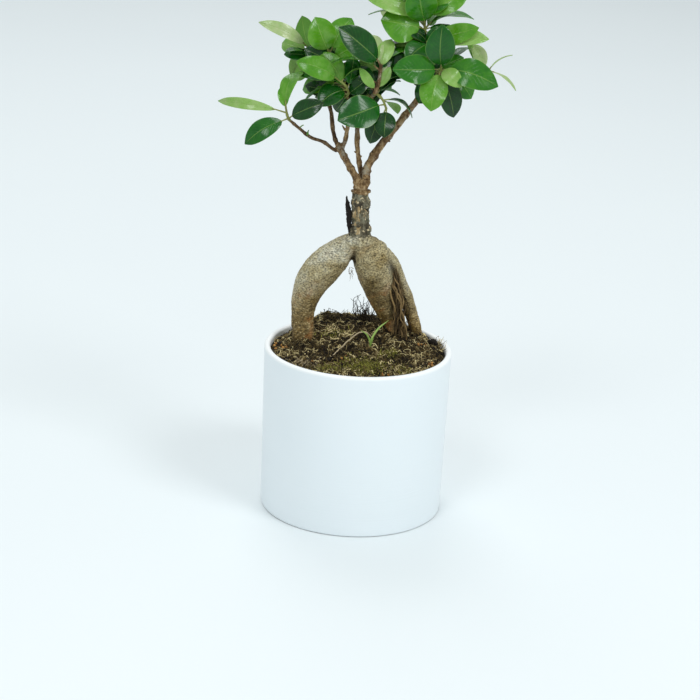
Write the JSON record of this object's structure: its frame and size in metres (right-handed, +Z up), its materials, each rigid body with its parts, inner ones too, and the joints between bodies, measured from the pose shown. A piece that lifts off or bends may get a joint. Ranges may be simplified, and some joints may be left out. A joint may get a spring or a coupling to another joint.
{
  "type": "artificial tabletop tree",
  "caption": "Artificial fig bonsai: thick two-legged cast root and bendable leafy branches on a drop-in moss planting in a plain white cylinder pot.",
  "frame": {"origin": "centre of the pot's flat foot, on the surface it stands on", "axes": "+Z up; +Y towards the back of the tree; +X to the tree's right as seen from the front"},
  "size_m": [0.2101, 0.14, 0.4086],
  "materials": {
    "pot_glaze": "satin white glaze",
    "cement": "cast cement",
    "foam": "open foam",
    "moss": "fibrous peat and moss mat",
    "root": "stippled cast resin",
    "bark": "rough moulded bark",
    "twig": "wrapped bark",
    "steel": "drawn",
    "leaf": "semi-gloss",
    "sprout": "satin"
  },
  "bodies": {
    "pot": {"pot": "pot_glaze"},
    "planting": {"ballast_disc": "cement", "foam_core": "foam", "moss_mat": "moss", "cast_root": "root", "aerial_root_front": "root", "aerial_root_rear": "root", "left_anchor_rod": "steel", "right_anchor_rod": "steel", "thin_anchor_rod": "steel", "trunk_rod": "steel", "trunk_neck": "bark", "neck_splinter": "bark", "graft_collar": "bark", "fork_socket": "twig", "grass_sprout": "sprout", "arching_root": "root", "moss_tuft": "moss", "bark_chip": "bark"},
    "left_branch": {"left_branch": "twig", "left_branch_wire": "steel", "centre_left_branch": "twig", "left_top_sprig": "leaf", "left_front_sprig": "leaf", "left_rear_sprig": "leaf"},
    "low_left_twig": {"low_left_twig": "twig", "low_left_sprig": "leaf"},
    "mid_left_branch": {"mid_left_branch": "twig", "left_outer_sprig": "leaf"},
    "centre_branch": {"centre_branch": "twig", "centre_branch_wire": "steel", "hero_sprig": "leaf", "centre_sprig": "leaf", "centre_rear_sprig": "leaf"},
    "right_branch": {"right_branch": "twig", "right_branch_wire": "steel", "right_hero_sprig": "leaf", "right_rear_sprig": "leaf"},
    "right_top_twig": {"right_top_twig": "twig", "right_mid_sprig": "leaf", "right_top_sprig": "leaf", "apex_sprig": "leaf"},
    "right_outer_sprig": {"right_outer_sprig": "leaf"}
  },
  "joints": [
    {"name": "tree_lift", "type": "slide", "parent": "pot", "child": "planting", "axis": [0, 0, 1], "range_m": [0, 0.15]},
    {"name": "left_branch_bend", "type": "hinge", "parent": "planting", "child": "left_branch", "pos_m": [-0.0073, -0.0008, 0.254], "axis": [0, -1, 0], "range_deg": [-2, 12]},
    {"name": "low_left_twig_bend", "type": "hinge", "parent": "left_branch", "child": "low_left_twig", "pos_m": [-0.0248, -0.0036, 0.2752], "axis": [0, -1, 0], "range_deg": [-6, 20]},
    {"name": "mid_left_branch_bend", "type": "hinge", "parent": "left_branch", "child": "mid_left_branch", "pos_m": [-0.0238, 0.0008, 0.2802], "axis": [0, -1, 0], "range_deg": [-3, 10]},
    {"name": "centre_branch_bend", "type": "hinge", "parent": "planting", "child": "centre_branch", "pos_m": [-0.004, 0.0044, 0.254], "axis": [1, 0, 0], "range_deg": [-2, 10]},
    {"name": "right_branch_bend", "type": "hinge", "parent": "planting", "child": "right_branch", "pos_m": [-0.0008, -0.0006, 0.2544], "axis": [0, 1, 0], "range_deg": [-2, 12]},
    {"name": "right_top_twig_bend", "type": "hinge", "parent": "right_branch", "child": "right_top_twig", "pos_m": [0.0405, 0.0112, 0.328], "axis": [0, 1, 0], "range_deg": [-2, 10]},
    {"name": "right_outer_sprig_bend", "type": "hinge", "parent": "right_branch", "child": "right_outer_sprig", "pos_m": [0.0512, 0.008, 0.3335], "axis": [0, 1, 0], "range_deg": [-8, 18]}
  ]
}
